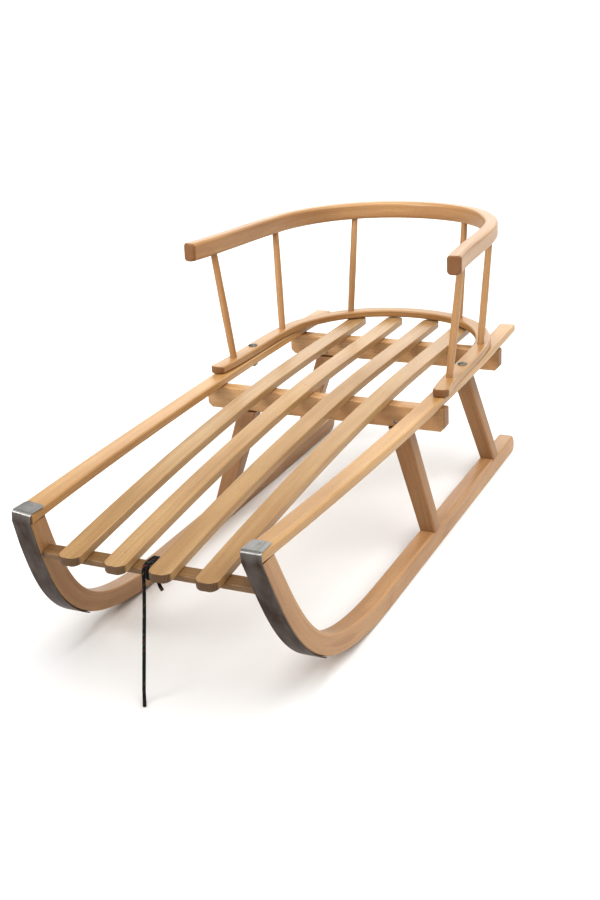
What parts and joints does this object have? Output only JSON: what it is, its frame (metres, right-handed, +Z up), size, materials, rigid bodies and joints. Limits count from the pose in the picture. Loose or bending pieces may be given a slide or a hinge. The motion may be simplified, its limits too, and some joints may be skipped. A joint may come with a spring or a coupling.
{
  "type": "wooden toboggan",
  "caption": "Slatted beech toboggan on two bent runners with steel-shod noses, a low bentwood backrest on turned spindles, and a short pull rope at the front bar.",
  "frame": {"origin": "on the ground, under the middle of the toboggan's box without its rope", "axes": "+Z up; +Y from the noses towards the backrest, along the length; +X to the rider's left-to-right, so the right-hand runner has positive X when the toboggan is seen from its nose end looking along +Y"},
  "size_m": [0.4035, 0.932, 0.4116],
  "materials": {
    "beech": "clear satin lacquer on straight-grained beech",
    "bent_beech": "clear satin lacquer on steam-bent beech, grain along the bend",
    "strip_steel": "plain rolled steel, lightly brushed along its length",
    "fastener_steel": "zinc-plated steel, slightly dull",
    "rope_braid": "black braided synthetic cord with a few coloured flecks"
  },
  "bodies": {
    "root": {"backrest_bolt_left": "fastener_steel", "backrest_bolt_right": "fastener_steel", "backrest_nut_left": "fastener_steel", "backrest_nut_right": "fastener_steel", "backrest_washer_left": "fastener_steel", "backrest_washer_right": "fastener_steel", "front_bar": "beech", "leg_front_left": "beech", "leg_front_right": "beech", "leg_pin_front_left": "fastener_steel", "leg_pin_front_right": "fastener_steel", "leg_pin_rear_left": "fastener_steel", "leg_pin_rear_right": "fastener_steel", "leg_rear_left": "beech", "leg_rear_right": "beech", "lower_hoop": "bent_beech", "middle_beam": "beech", "nose_strip_left": "strip_steel", "nose_strip_right": "strip_steel", "rail_dowel_middle_left": "beech", "rail_dowel_middle_right": "beech", "rail_dowel_rear_left": "beech", "rail_dowel_rear_right": "beech", "rail_left": "beech", "rail_right": "beech", "rear_beam": "beech", "rope": "rope_braid", "runner_left": "bent_beech", "runner_right": "bent_beech", "slat_1": "beech", "slat_1_nail_front": "fastener_steel", "slat_1_nail_middle": "fastener_steel", "slat_1_nail_rear": "fastener_steel", "slat_2": "beech", "slat_2_nail_front": "fastener_steel", "slat_2_nail_middle": "fastener_steel", "slat_2_nail_rear": "fastener_steel", "slat_3": "beech", "slat_3_nail_front": "fastener_steel", "slat_3_nail_middle": "fastener_steel", "slat_3_nail_rear": "fastener_steel", "slat_4": "beech", "slat_4_nail_front": "fastener_steel", "slat_4_nail_middle": "fastener_steel", "slat_4_nail_rear": "fastener_steel", "spindle_back_left": "fastener_steel", "spindle_back_right": "fastener_steel", "spindle_front_left": "fastener_steel", "spindle_front_right": "fastener_steel", "spindle_middle_left": "fastener_steel", "spindle_middle_right": "fastener_steel", "strip_nail_left": "fastener_steel", "strip_nail_right": "fastener_steel", "upper_hoop": "bent_beech"}
  },
  "joints": []
}
